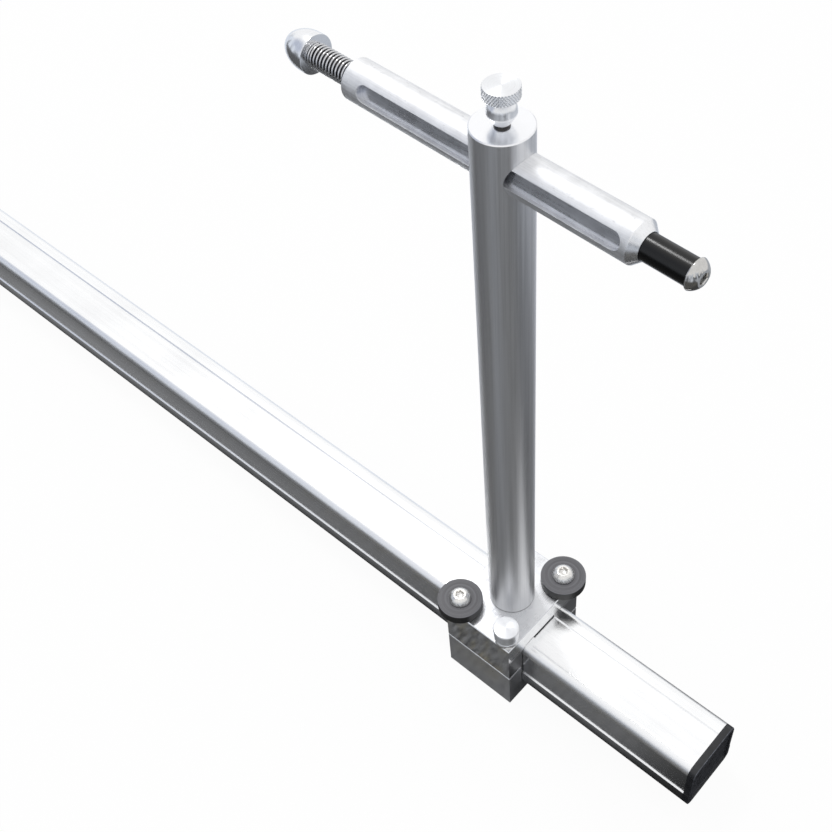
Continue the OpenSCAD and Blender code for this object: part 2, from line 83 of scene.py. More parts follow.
# Turned shapes, as shares of their radius and height from the foot up, with the share of each
# corner that is rounded
COLLAR = ((0.58, 0, 0.05), (0.97, 0.35, 0.1), (1, 0.41, 0.1), (0.94, 0.63, 0.04),
          (0.9, 0.68, 0.03), (0.7, 0.83, 0.03), (0.67, 1, 0))
CLAMP_KNOB = ((0.86, 0, 0), (0.92, 0.05, 0.03), (0.92, 0.12, 0.03), (0.87, 0.155, 0.03),
              (0.87, 0.19, 0.03), (0.95, 0.26, 0.08), (1, 0.93, 0.03), (0.95, 1, 0.03))


def box_centre(node):
    low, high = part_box(node)
    return (low + high) / 2


def box_size(node):
    low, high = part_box(node)
    return high - low


# Places on the near carriage, from the CAD; the far one is the same turned half round
POST = box_centre("near_post")
PLATE_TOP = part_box("near_saddle")[1].z
BAR_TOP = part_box("bar")[1].z
ARM_HEIGHT = box_centre("near_arm").z
ARM_REACH = box_centre("near_contact_tip") - box_centre("near_ball_knob")
ARM_TURN = math.atan2(ARM_REACH.y, ARM_REACH.x)


def along_arm(node):
    """Where a node of the near arm begins and ends along the arm, from the post."""
    axis = Vector((math.cos(ARM_TURN), math.sin(ARM_TURN), 0))
    places = [(v.co - POST).dot(axis) for v in frame["nodes"][node].data.vertices]
    return min(places), max(places)


def on_arm(along):
    """Matrix that lays a piece's +Z along the near arm, at a distance from the post."""
    turn = Matrix.Rotation(ARM_TURN, 4, "Z")
    place = turn @ Vector((along, 0, 0)) + Vector((POST.x, 0, ARM_HEIGHT))
    return Matrix.Translation(place) @ turn @ Matrix.Rotation(QUARTER, 4, "Y")


def on_node(node):
    """Matrix that stands a piece upright at the foot of a node, at its middle."""
    centre = box_centre(node)
    return Matrix.Translation((centre.x, centre.y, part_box(node)[0].z))


# Values that a user would change


def size_property(name, description, default):
    return FloatProperty(name=name, description=description, default=default, unit="LENGTH")


def share_property(name, description, default):
    return FloatProperty(name=name, description=description, default=default, subtype="FACTOR")


def count_property(name, description, default, least=1):
    return IntProperty(name=name, description=description, default=default, min=least)


def colour_property(name, description, default):
    return FloatVectorProperty(
        name=name, description=description, default=default, subtype="COLOR",
        size=3, min=0, max=1,
    )


class ToeBarSizes(PropertyGroup):
    """Sizes of the visible detail; the main sizes come from the CAD."""

    lathe_sides: count_property("Lathe sides", "Sides of a turned piece", 96, 24)
    edge: size_property("Broken edge", "Radius of a turned piece's broken edges", 0.0004)
    disc_edge: size_property("Disc edge", "Radius of a bumper disc's edges", 0.0007)
    head_height: size_property("Button head", "Height of a disc screw's head", 0.005)
    head_rim: share_property("Head rim", "Share of a head's height that is its straight rim", 0.12)
    head_flat: share_property("Head flat", "Share of a head's radius that is flat on top", 0.54)
    socket: size_property("Hexagon socket", "Width across the flats of a screw's socket", 0.0056)
    socket_depth: size_property("Socket depth", "Depth of a disc screw's socket", 0.0028)
    thumb_head: size_property("Thumb head", "Height of the thumb screw's knurled head", 0.0058)
    thumb_collar: size_property("Thumb collar", "Greatest diameter of the collar under it", 0.0149)
    knurl_teeth: count_property("Knurl teeth", "Ridges round the thumb screw's head", 38)
    knurl_depth: size_property("Knurl depth", "Depth of the crossed knurl", 0.00055)
    knurl_lead: FloatProperty(
        name="Knurl slant", description="How many ridges a groove crosses from foot to top",
        default=2.5,
    )
    slot_width: size_property("Slot width", "Width of the arm's milled slot", 0.0093)
    slot_depth: size_property("Slot depth", "Depth of the arm's milled slot", 0.0039)
    slot_rear: size_property("Slot rear land", "Plain length between slot and rear end", 0.0116)
    slot_front: size_property("Slot front land", "Plain length between slot and nose", 0.0075)
    slot_tilt: FloatProperty(
        name="Slot tilt", description="How far the slot is turned up from the arm's side",
        default=math.radians(18), subtype="ANGLE",
    )
    slot_edge: size_property("Slot edge", "Width of the slot's broken edge", 0.00035)
    running_fit: size_property("Running fit", "Gap all round a rod or sleeve in its bore", 0.00005)
    nose_length: size_property("Nose length", "Length of the chamfer at the arm's nose", 0.0042)
    nose_end: size_property("Nose end", "Diameter of the arm's end inside that chamfer", 0.0149)
    knob_foot: size_property("Ball knob foot", "Straight length at a ball knob's foot", 0.004)
    knob_crown: size_property("Ball knob crown", "Radius of a ball knob's crown", 0.0086)
    spring_turns: count_property("Spring turns", "Turns of the plunger's spring", 11)
    wire: size_property("Spring wire", "Diameter of the spring's wire", 0.00115)
    top_radius: size_property("Top corners", "Radius of the bar's top corners", 0.007)
    foot_radius: size_property("Foot corners", "Radius of the bar's foot corners", 0.0052)
    ledge: size_property("Ledge", "How far the bar's lower part stands out", 0.0008)
    ledge_height: size_property("Ledge height", "Height of the bar's lower part", 0.015)
    cap_bevel: size_property("Cap edge", "Radius of the end cap's front edge", 0.0007)
    cap_frame: size_property("Cap frame", "Width of the raised frame round an end cap", 0.004)
    cap_panel: size_property("Cap panel", "Depth of the panel inside that frame", 0.001)
    panel_corner: size_property("Panel corners", "Radius of that panel's corners", 0.003)
    panel_edge: size_property("Panel edge", "Width of that panel's broken edge", 0.0003)


class ToeBarColours(PropertyGroup):
    """Colours of the finishes and of the studio."""

    bar: colour_property("Bar", "Satin extruded aluminium", (0.94, 0.945, 0.955))
    block: colour_property("Blocks", "Polished milled aluminium", (0.88, 0.885, 0.895))
    post: colour_property("Posts", "Drawn aluminium", (0.78, 0.785, 0.8))
    arm: colour_property("Arms", "Satin turned aluminium", (0.88, 0.885, 0.9))
    turned: colour_property("Knobs", "Bright turned aluminium", (0.88, 0.89, 0.91))
    steel: colour_property("Screws", "Bright stainless steel", (0.72, 0.71, 0.69))
    wire: colour_property("Spring wire", "Bright spring steel", (0.66, 0.66, 0.67))
    moulding: colour_property("End caps", "Black moulded plastic", (0.014, 0.015, 0.018))
    # Turned acetal's tops take this colour; its sides are painted far darker as painted shade
    acetal: colour_property("Discs and sleeves", "Black turned acetal", (0.115, 0.115, 0.127))
    oxide: colour_property("Rod and bushes", "Black oxide steel", (0.03, 0.03, 0.035))
    ground: colour_property("Ground", "Dark ground that bright metal shows", (0.12, 0.122, 0.126))
    sky: colour_property("Sky", "Sky away from the light, in polished metal", (0.5, 0.54, 0.64))
    surround: colour_property("Surround", "Grey things that stand round it", (0.5, 0.53, 0.58))


class ToeBarStudio(PropertyGroup):
    """Camera and light."""

    camera_place: FloatVectorProperty(
        name="Camera place", description="Camera from the near plate's top centre",
        default=(0.300335, -0.349794, 0.761036), subtype="TRANSLATION",
    )
    camera_turn: FloatVectorProperty(
        name="Camera turn", description="Rotation vector from the frame to the camera",
        default=(2.338, 0.873, -0.405), subtype="XYZ",
    )
    lens: FloatProperty(
        name="Lens", description="Focal length on a 36 mm sensor", default=53.884,
        subtype="DISTANCE_CAMERA",
    )
    key_power: FloatProperty(name="Key light", description="Power of the key light", default=16.0)
    key_way: FloatVectorProperty(
        name="Key direction", description="Direction from the near upright to the key light",
        default=(-0.41, 0.135, 0.9), subtype="DIRECTION",
    )
    key_height: size_property("Key aim", "Height on the upright that it is aimed at", 0.3)
    key_distance: size_property("Key distance", "How far away the key light is", 2.6)
    key_width: size_property("Key width", "Diameter of the key light", 0.5)
    sky: FloatProperty(name="Sky", description="Strength of the light from the sky", default=0.75)
    dull_way: FloatVectorProperty(
        name="Dull sky", description="Direction in which polished metal finds the sky blue-grey",
        default=(-0.74, -0.51, 0.44), subtype="DIRECTION",
    )


# Shader maths


class Shade:
    """One shader value. Arithmetic written with it adds the nodes that work it out."""

    def __init__(self, tree, socket):
        self.tree, self.socket = tree, socket

    def sum_of(self, operation, first, second):
        vector = any(
            isinstance(v, tuple) or isinstance(v, Shade) and v.socket.type != "VALUE"
            for v in (first, second)
        )
        node = self.tree.nodes.new("ShaderNodeVectorMath" if vector else "ShaderNodeMath")
        node.operation = operation
        for socket, value in zip(node.inputs, (first, second)):
            if isinstance(value, Shade):
                self.tree.links.new(value.socket, socket)
            elif vector and not isinstance(value, tuple):
                socket.default_value = (value, value, value)
            else:
                socket.default_value = value
        return Shade(self.tree, node.outputs[0])

    def __add__(self, other):
        return self.sum_of("ADD", self, other)

    def __radd__(self, other):
        return self.sum_of("ADD", other, self)

    def __sub__(self, other):
        return self.sum_of("SUBTRACT", self, other)

    def __rsub__(self, other):
        return self.sum_of("SUBTRACT", other, self)

    def __mul__(self, other):
        return self.sum_of("MULTIPLY", self, other)

    def __rmul__(self, other):
        return self.sum_of("MULTIPLY", other, self)

    def __truediv__(self, other):
        return self.sum_of("DIVIDE", self, other)

    def __rtruediv__(self, other):
        return self.sum_of("DIVIDE", other, self)


class Finish:
    """Nodes of one material or of the world."""

    def __init__(self, owner):
        owner.use_nodes = True
        self.owner, self.tree = owner, owner.node_tree
        self.tree.nodes.clear()

    def node(self, kind, settings=None, sockets=None, output=0):
        """Adds a node, applies its settings, then feeds its sockets by name or number."""
        node = self.tree.nodes.new(kind)
        for name, value in (settings or {}).items():
            setattr(node, name, value)
        for name, value in (sockets or {}).items():
            if isinstance(value, Shade):
                self.tree.links.new(value.socket, node.inputs[name])
            else:
                node.inputs[name].default_value = value
        return Shade(self.tree, node.outputs[output]) if node.outputs else None

    def vector(self, operation, *values, output=0):
        """Any other Vector Math; a length or a dot product comes from output 1."""
        return self.node("ShaderNodeVectorMath", {"operation": operation},
                         dict(enumerate(values)), output)

    def millimetres(self):
        """Place on the piece in its own axes, in millimetres."""
        return self.node("ShaderNodeTexCoord", output="Object") * MM

    def shown_white(self):
        """1 for rays that should see the white background: the camera's, gloss and glass."""
        camera, gloss, glass = [
            self.node("ShaderNodeLightPath", output=ray)
            for ray in ("Is Camera Ray", "Is Glossy Ray", "Is Transmission Ray")]
        return self.between(camera + gloss + glass, 0.0, 1.0)

    def noise(self, place, scale=1.0, detail=2.0, roughness=0.5):
        return self.node(
            "ShaderNodeTexNoise",
            sockets={"Vector": place, "Scale": scale, "Detail": detail, "Roughness": roughness},
        )

    def between(self, value, low, high, new_low=0.0, new_high=1.0):
        """Value moved from the range low to high onto a new range, clamped."""
        return self.node(
            "ShaderNodeMapRange",
            sockets={"Value": value, "From Min": low, "From Max": high, "To Min": new_low,
                     "To Max": new_high},
        )

    def blend(self, share, first, second):
        """Colour between first and second by share."""
        first, second = (c if isinstance(c, Shade) else (*c, 1) for c in (first, second))
        return self.node("ShaderNodeMix", {"data_type": "RGBA", "clamp_factor": True},
                         {0: share, 6: first, 7: second}, output=2)

    def parts(self, place):
        """X, Y and Z of a vector."""
        return [self.node("ShaderNodeSeparateXYZ", sockets={0: place}, output=axis)
                for axis in "XYZ"]

    def facing(self, axis, low, high):
        """1 where the piece's own surface faces along an axis by more than low to high."""
        normal = self.node("ShaderNodeTexCoord", output="Normal")
        return self.between(self.parts(normal)["XYZ".index(axis)], low, high)

    def turning(self, place, pitch):
        """Fine lines that a lathe leaves: rings on the faces, hoops round the sides."""
        x, y, z = self.parts(place)
        flat = self.node("ShaderNodeCombineXYZ", sockets={0: x, 1: y})
        radius = self.vector("LENGTH", flat, output=1)
        lines = self.node("ShaderNodeCombineXYZ", sockets={0: radius / pitch, 1: z / pitch})
        return self.noise(lines + place * 0.02, detail=3.0, roughness=0.7)

    def bump(self, height, depth, strength):
        """Normal tilted by a height from 0 to 1 that stands for a depth in metres."""
        return self.node("ShaderNodeBump", sockets={"Height": height, "Distance": depth,
                                                    "Strength": strength})

    def surface(self, **sockets):
        """The finished surface; names are the shader's sockets with _ for a space."""
        named = {name.replace("_", " "): value for name, value in sockets.items()}
        shader = self.node("ShaderNodeBsdfPrincipled", sockets=named)
        self.node("ShaderNodeOutputMaterial", sockets={"Surface": shader})
        return self.owner

    def mixed(self, share, first, second, output="ShaderNodeOutputMaterial"):
        """The finished surface or sky where it is two shaders in one."""
        both = self.node("ShaderNodeMixShader", sockets={0: share, 1: first, 2: second})
        self.node(output, sockets={"Surface": both})
        return self.owner


def tone(colour, factor):
    return tuple(min(1.0, c * factor) for c in colour)


def new_finish(name):
    return Finish(bpy.data.materials.new(name))


# Finishes


def extruded_aluminium(name, colour):
    """Satin extrusion: fine die lines along X, faint handling marks and duller worn corners."""
    f = new_finish(name)
    place = f.millimetres()
    die_lines = f.noise(place * (0.003, 3.0, 3.0), detail=4.0, roughness=0.65)
    bands = f.noise(place * (0.002, 0.35, 0.35))
    smudge = f.noise(place, 0.02, 3.0, 0.6)
    shade = f.between(bands * 0.6 + smudge * 0.4, 0.3, 0.7)
    worn = f.facing("Z", 0.01, 0.2) * f.facing("Z", 0.99, 0.8)
    return f.surface(
        Base_Color=f.blend(shade, tone(colour, 0.95), tone(colour, 1.05)),
        Metallic=1.0,
        Roughness=f.between(die_lines * 0.5 + smudge * 0.5, 0.3, 0.7, 0.17, 0.28) + worn * 0.14,
        Normal=f.bump(die_lines, 0.00003, 0.35),
    )


def polished_block(name, colour, low, high):
    """Milled block: sides almost a mirror, top duller with lines from the cutter and painted darker as painted
    shade, ends below the bar's top sawn and painted dark as painted shade.
    """
    f = new_finish(name)
    place = f.millimetres()
    cutter = f.noise(place * (2.2, 0.02, 0.05), detail=3.0, roughness=0.6)
    cloud = f.noise(place, 0.12, 4.0, 0.6)
    top = f.facing("Z", 0.5, 0.9)
    # The block's ends below the bar's top: rougher, and painted dark as painted shade
    sawn_and_shaded_end = f.facing("X", 0.5, 0.9) * f.between(f.parts(place)[2], BAR_TOP * MM, BAR_TOP * MM - 4.0)
    gloss = f.between(cloud * 0.6 + cutter * 0.4, 0.35, 0.65, low, high)
    body = f.blend(f.between(cloud, 0.35, 0.7), tone(colour, 0.93), colour)
    # Painted shade: the top is painted darker than the sides
    body = f.blend(top, body, body * (0.83, 0.835, 0.85))
    return f.surface(
        Base_Color=f.blend(sawn_and_shaded_end, body, body * (0.4, 0.4, 0.41)),
        Metallic=1.0,
        Roughness=gloss + top * 0.17 + sawn_and_shaded_end * 0.3,
        Normal=f.bump(cutter, 0.00001, 0.25),
    )


def drawn_aluminium(name, colour):
    """Drawn round bar: streaks along its length in tone and gloss, a top painted paler as painted light, and a
    dark ring of painted shade round its foot.
    """
    f = new_finish(name)
    place = f.millimetres()
    streak = f.noise(place * (0.55, 0.55, 0.006), detail=4.0, roughness=0.65)
    fine = f.noise(place * (3.5, 3.5, 0.01), detail=2.0)
    shade = f.between(streak * 0.65 + fine * 0.35, 0.32, 0.68)
    body = f.blend(shade, tone(colour, 0.88), tone(colour, 1.08))
    foot = PLATE_TOP * MM
    # Painted shade: a dark ring where the post stands on the plate
    shade_at_foot = f.between(f.parts(place)[2], foot + 0.7, foot + 0.3)
    faced_and_lit_top = f.facing("Z", 0.5, 0.9)
    # Painted light: the faced top is painted paler than the sides, and is glossier
    body = f.blend(faced_and_lit_top, body, tone(colour, 1.22))
    return f.surface(
        Base_Color=f.blend(shade_at_foot * 0.8, body, tone(colour, 0.1)),
        Metallic=1.0,
        Roughness=f.between(fine * 0.5 + streak * 0.5, 0.3, 0.7, 0.38, 0.5) - faced_and_lit_top * 0.24,
        Normal=f.bump(fine * (1.0 - faced_and_lit_top), 0.00002, 0.3),
    )


def turned_metal(name, colour, pitch, low, high, depth, spread):
    """Lathe-turned metal: rings and hoops in gloss and height."""
    f = new_finish(name)
    place = f.millimetres()
    rings = f.turning(place, pitch)
    cloud = f.noise(place, 0.3, 3.0)
    return f.surface(
        Base_Color=f.blend(f.between(rings, 0.3, 0.7), tone(colour, 0.94), tone(colour, 1.04)),
        Metallic=1.0,
        Roughness=f.between(rings * 0.6 + cloud * 0.4, 0.3, 0.7, low, high),
        Anisotropic=spread,
        Anisotropic_Rotation=0.25,
        Normal=f.bump(rings, depth, 0.35),
    )


def satin_arm(name, colour):
    """Turned bar polished along its length, with streaks and marks; nose and slots glossier, and the slot painted
    darker as painted shade.
    """
    f = new_finish(name)
    place = f.millimetres()
    x, y, z = f.parts(place)
    nose = (along_arm("near_arm")[1] - bpy.context.scene.toe_bar_sizes.nose_length) * MM
    radius = box_size("near_arm").z / 2 * MM
    cone = f.between(z, nose, nose + 0.1)
    # The slot's walls and floor: glossier, and painted darker as painted shade
    milled_and_shaded_slot = f.between(x * x + y * y, (radius - 0.3)**2, (radius - 1.2)**2)
    milled_and_shaded_slot = milled_and_shaded_slot * f.facing("X", -0.9, -0.6) * (1.0 - cone)
    streak = f.noise(place * (1.1, 1.1, 0.03), detail=3.0, roughness=0.65)
    marks = f.between(f.noise(place * (1.0, 1.0, 0.5), 0.55, 3.0, 0.7), 0.6, 0.72)
    cloud = f.noise(place, 0.09, 4.0, 0.6)
    shade = f.between(cloud * 0.5 + streak * 0.5, 0.36, 0.62)
    body = f.blend(shade, tone(colour, 0.86), tone(colour, 1.04))
    body = f.blend(milled_and_shaded_slot, body, body * (0.76, 0.77, 0.8))
    dull = f.between(streak * 0.5 + cloud * 0.5, 0.3, 0.7, 0.5, 0.64)
    return f.surface(
        Base_Color=f.blend(marks * 0.5, body, tone(colour, 0.66)),
        Metallic=1.0,
        Roughness=dull - (cone + milled_and_shaded_slot) * 0.28,
        Anisotropic=0.4,
        Anisotropic_Rotation=0.25,
        Normal=f.bump(streak, 0.00002, 0.3),
    )


def bright_steel(name, colour, grain, contrast, low, high, depth):
    """Stainless steel fastener: bright, with the fine pits that tumbling leaves."""
    f = new_finish(name)
    place = f.millimetres()
    speckle = f.noise(place, grain, 3.0, 0.65)
    return f.surface(
        Base_Color=f.blend(f.between(speckle, 0.35, 0.65), tone(colour, 1 - contrast),
                           tone(colour, 1 + contrast / 2)),
        Metallic=1.0,
        Roughness=f.between(speckle, 0.35, 0.65, low, high),
        Normal=f.bump(speckle, depth, 0.35),
    )


def black_moulding(name, colour):
    """Moulded plastic: fine spark grain, a front painted paler as painted light, and a painted highlight, broken
    up, along the edges of its front.
    """
    f = new_finish(name)
    place = f.millimetres()
    grain = f.noise(place, 4.0, 3.0, 0.6)
    cloud = f.noise(place, 0.15, 2.0)
    body = f.blend(f.between(cloud, 0.3, 0.7), tone(colour, 0.7), tone(colour, 1.3))
    # Painted light: the front face is painted paler than the rest
    body = f.blend(f.facing("X", 0.9, 0.98), body, body * 2.4)
    # Painted highlight along the rounded edges of the front, broken up by noise
    edge = f.facing("X", 0.25, 0.5) * f.facing("X", 0.97, 0.88) * f.facing("Z", -0.1, 0.4)
    edge_highlight = edge * f.between(f.noise(place, 0.35, 2.0), 0.3, 0.6, 0.35, 1.0)
    return f.surface(
        Base_Color=f.blend(edge_highlight, body, tone(colour, 10.0)),
        Roughness=f.between(grain * 0.5 + cloud * 0.5, 0.3, 0.7, 0.2, 0.38),
        Normal=f.bump(grain, 0.00003, 0.3),
    )


def black_acetal(name, colour, low, high, shine, depth):
    """Turned acetal: satin black with turning rings and a few pale scuffs; its sides are painted far darker than
    its tops as painted shade, and its rounded edge paler as a painted highlight.
    """
    f = new_finish(name)
    place = f.millimetres()
    rings = f.turning(place, 0.5)
    scuff = f.between(f.noise(place, 0.7, 4.0, 0.7), 0.6, 0.75)
    body = f.blend(f.between(rings, 0.3, 0.7), tone(colour, 0.55), tone(colour, 1.35))
    # Painted highlight on the rounded edge round the top
    edge = f.facing("Z", 0.2, 0.45) * f.facing("Z", 0.97, 0.85)
    # Painted shade: the sides and underside are painted far darker than the top
    body = f.blend(f.facing("Z", 0.5, 0.2), body, tone(colour, 0.03))
    return f.surface(
        # The pale scuffs are wear; the pale edge is the painted highlight
        Base_Color=f.blend(scuff * 0.35 + edge * 0.6, body, tone(colour, 2.2)),
        Roughness=f.between(rings * 0.5 + scuff * 0.5, 0.1, 0.7, low, high),
        Specular_IOR_Level=shine,
        Normal=f.bump(rings, depth, 0.3),
    )


def black_oxide(name, colour):
    """Black oxide on steel: dark, faintly brown where it is thin."""
    f = new_finish(name)
    cloud, brown = f.noise(f.millimetres(), 0.4, 3.0, 0.6), (0.055, 0.05, 0.046)
    return f.surface(
        Base_Color=f.blend(f.between(cloud, 0.35, 0.7), colour, brown),
        Metallic=0.7,
        Roughness=f.between(cloud, 0.3, 0.7, 0.3, 0.45),
    )


def drawn_wire(name, colour):
    """Spring wire: bright, with faint marks along the coil."""
    f = new_finish(name)
    marks = f.noise(f.millimetres(), 2.0, 2.0)
    return f.surface(
        Base_Color=f.blend(f.between(marks, 0.35, 0.65), tone(colour, 0.85), tone(colour, 1.1)),
        Metallic=1.0,
        Roughness=f.between(marks, 0.35, 0.65, 0.1, 0.18),
    )


def pale_floor(name):
    """White to the rays that should see the background, and pale and matt to the others."""
    f = new_finish(name)
    lit = f.node("ShaderNodeBsdfDiffuse", sockets={"Color": (0.95, 0.95, 0.95, 1)})
    white = f.node("ShaderNodeEmission", sockets={"Color": (1, 1, 1, 1), "Strength": 1.0})
    return f.mixed(f.shown_white() * 0.95, lit, white)


def dark_ground(name, ground, surround):
    """Gravel, with grey things that stand round it, and clear above their skyline. The bar's
    near end is at x = 914 and the camera's side is -Y; all places are in millimetres."""
    f = new_finish(name)
    place = f.millimetres()
    x, y, z = f.parts(place)
    gravel = f.between(f.noise(place, 0.26, 4.0, 0.6), 0.4, 0.6) - 0.5
    gravel = gravel * f.between(y, -40.0, -50.0, 0.3, 1.0) + 0.5
    earth = f.between(f.noise(place, 0.09, 2.0, 0.5), 0.5, 0.6) * f.between(y, -46.0, -50.0)
    stones = f.blend(earth, tone(ground, 1.6), tuple(
        c * share for c, share in zip(ground, (1.7, 1.55, 1.15))))
    tones = f.blend(gravel, tone(ground, 0.4), stones)
    from_post = place - (POST.x * MM, 0.0, 0.0)
    bands = f.noise(f.vector("NORMALIZE", from_post) * (5.0, 5.0, 0.4))
    standing = f.blend(f.between(bands, 0.44, 0.56), tone(surround, 0.4), tone(surround, 1.6))
    standing = f.blend(f.between(y, 600.0, 1500.0), standing, (1.0, 1.0, 1.0))
    away = f.vector("LENGTH", from_post, output=1)
    tones = f.blend(f.between(away, 900.0, 1500.0), tones, standing)
    # Each patch is laid over those before it: a pale strip under the bar's length, a grey
    # stretch before the blocks, dark ground before the bar, pale ground behind it, dark ground
    # round the bar's near end, and grey beyond that
    patches = (
        (f.between(x, 700.0, 250.0) * f.between(y * y, 2200.0, 1700.0), tone(ground, 2.1)),
        (f.between(x, 900.0, 820.0) * f.between(x, 640.0, 740.0)
         * f.between(y, -80.0, -350.0), tone(surround, 0.55)),
        (f.between(x, 560.0, 480.0) * f.between(y, -45.0, -55.0), tone(ground, 0.8)),
        (f.between(x, 790.0, 740.0) * f.between(y, 40.0, 60.0), tone(surround, 1.5)),
        (f.between(x, 860.0, 950.0) * f.between(y, -150.0, -80.0), tone(ground, 0.6)),
        (f.between(x + y, 1380.0, 1550.0), surround),
    )
    for share, colour in patches:
        tones = f.blend(share, tones, colour)
    # The object's own shade: a patch round the cap and a strip under the bar
    round_cap = f.between(x, 850.0, 915.0) * f.between(x, 960.0, 930.0)
    round_cap = round_cap * f.between(y * y, 6400.0, 3600.0)
    under = f.between(y * y, 1300.0, 1000.0) * f.between(x, 925.0, 900.0)
    shade = f.between(round_cap * 0.85 + under, 0.0, 1.0)
    tones = f.blend(shade, tones, tone(ground, 0.05))
    tones = f.blend(f.between(z, 20.0, 300.0), tones, standing)
    skyline = f.between(bands, 0.4, 0.6, 700.0, 2100.0)
    seen = f.node("ShaderNodeEmission", sockets={"Color": tones})
    clear = f.node("ShaderNodeBsdfTransparent")
    return f.mixed(f.between(z - skyline, -120.0, 120.0), seen, clear)


# How each finish is made: its maker, the colour it starts from, how much of that colour, and
# what else the maker asks for
FINISHES = {
    "bar_aluminium": (extruded_aluminium, "bar", 1.0, {}),
    "block_aluminium": (polished_block, "block", 1.0, dict(low=0.06, high=0.2)),
    "smooth_block": (polished_block, "block", 0.97, dict(low=0.27, high=0.4)),
    "post_aluminium": (drawn_aluminium, "post", 1.0, {}),
    "arm_aluminium": (satin_arm, "arm", 1.0, {}),
    "turned_aluminium": (turned_metal, "turned", 1.0, dict(
        pitch=0.35, low=0.26, high=0.4, depth=0.00001, spread=0.7)),
    "brushed_turned": (turned_metal, "turned", 1.0, dict(
        pitch=0.35, low=0.36, high=0.48, depth=0.00001, spread=0.75)),
    "polished_turned": (turned_metal, "turned", 1.0, dict(
        pitch=0.35, low=0.15, high=0.25, depth=0.000005, spread=0.1)),
    "stainless": (bright_steel, "steel", 1.15, dict(
        grain=1.4, contrast=0.2, low=0.18, high=0.34, depth=0.0001)),
    "polished_steel": (bright_steel, "steel", 0.82, dict(
        grain=0.6, contrast=0.08, low=0.07, high=0.13, depth=0.00002)),
    "spring_wire": (drawn_wire, "wire", 1.0, {}),
    "black_plastic": (black_moulding, "moulding", 1.0, {}),
    "black_acetal": (black_acetal, "acetal", 1.0, dict(
        low=0.42, high=0.58, shine=0.62, depth=0.00003)),
    "polished_acetal": (black_acetal, "acetal", 0.07, dict(
        low=0.22, high=0.34, shine=0.42, depth=0.000002)),
    "black_oxide": (black_oxide, "oxide", 1.0, {}),
}


def finish_for(slot):
    """The finish of a material slot, or a variant of one, made once."""
    name = slot + "_finish"
    made = bpy.data.materials.get(name)
    if made:
        return made
    maker, colour, share, rest = FINISHES[slot]
    return maker(name, tone(getattr(bpy.context.scene.toe_bar_colours, colour), share), **rest)


# Mesh helpers


def arc(centre, radius, start, stop, steps):
    """Points along an arc of a plane, from one angle to another."""
    return [(centre[0] + radius * math.cos(start + (stop - start) * k / steps),
             centre[1] + radius * math.sin(start + (stop - start) * k / steps))
            for k in range(steps + 1)]


def softened(corners):
    """Profile points for corners (r, z, radius): each is rounded, and the flats beside it kept."""
    facets, flat, most = 4, 1.2, 0.4
    points = []
    for i, (r, z, radius) in enumerate(corners):
        here = Vector((r, z))
        if radius <= 0 or i in (0, len(corners) - 1):
            points.append((r, z))
            continue
        back = Vector(corners[i - 1][:2]) - here
        ahead = Vector(corners[i + 1][:2]) - here
        radius = min(radius, most * back.length, most * ahead.length)
        start, stop = here + back.normalized() * radius, here + ahead.normalized() * radius
        points.append(tuple(here + back.normalized() * radius * flat))
        for k in range(facets + 1):
            t = k / facets
            points.append(tuple(start * (1 - t) ** 2 + here * 2 * t * (1 - t) + stop * t**2))
        points.append(tuple(here + ahead.normalized() * radius * flat))
    return points


def new_piece(name, mesh_maker, smooth_angle=35):
    """A mesh object from a bmesh filler; faces are smooth, edges sharper than the angle crisp."""
    mesh = bpy.data.meshes.new(name)
    bm = bmesh.new()
    mesh_maker(bm)
    bmesh.ops.remove_doubles(bm, verts=bm.verts, dist=MERGED)
    bmesh.ops.recalc_face_normals(bm, faces=bm.faces)
    for face in bm.faces:
        face.smooth = True
    for edge in bm.edges:
        if len(edge.link_faces) == 2:
            edge.smooth = edge.calc_face_angle(0.0) < math.radians(smooth_angle)
    bm.to_mesh(mesh)
    bm.free()
    piece = bpy.data.objects.new(name, mesh)
    bpy.context.scene.collection.objects.link(piece)
    return piece


def skin(bm, loops):
    """Faces from each closed loop of points to the next, and one over the first and the last."""
    loops = [[bm.verts.new(point) for point in loop] for loop in loops]
    for a, b in zip(loops, loops[1:]):
        for k in range(len(a)):
            n = (k + 1) % len(a)
            bm.faces.new([a[k], a[n], b[n], b[k]])
    bm.faces.new(loops[0])
    bm.faces.new(loops[-1])


def hexagon_radius(angle, flats):
    """Distance from the centre to the side of a hexagon of that width across the flats."""
    return flats / 2 / math.cos((angle % (math.pi / 3)) - math.pi / 6)


def turn_profile(bm, profile, sides, at=(0, 0, 0), radius_at=None, fold_at=None):
    """Turns a profile of (r, z) or (hexagon flats, z, "hex") about Z, closing it on the axis.
    fold_at says across which corner, 0 or 1, the face of a row and column is folded, if any."""
    rings = []
    for station in profile:
        ring = []
        for k in range(sides if station[0] > MERGED else 1):
            angle = 2 * math.pi * k / sides
            r = station[0]
            if len(station) == 3:
                r = hexagon_radius(angle, station[0])
            elif radius_at:
                r = radius_at(r, station[1], angle)
            ring.append(bm.verts.new(
                Vector(at) + Vector((r * math.cos(angle), r * math.sin(angle), station[1]))))
        rings.append(ring)
    for row, (lower, upper) in enumerate(zip(rings, rings[1:])):
        for k in range(sides):
            n = (k + 1) % sides
            corners = [lower[k % len(lower)], lower[n % len(lower)],
                       upper[n % len(upper)], upper[k % len(upper)]]
            face = [v for i, v in enumerate(corners) if v not in corners[:i]]
            fold = fold_at(row, k) if fold_at else None
            if fold is not None and len(face) == 4:
                face = face[fold:] + face[:fold]
                bm.faces.new(face[:3])
                bm.faces.new([face[2], face[3], face[0]])
            elif len(face) > 2:
                bm.faces.new(face)


def lathe(profile):
    """Maker of a piece that is a turned profile alone."""
    sides = bpy.context.scene.toe_bar_sizes.lathe_sides
    return lambda bm: turn_profile(bm, profile, sides)


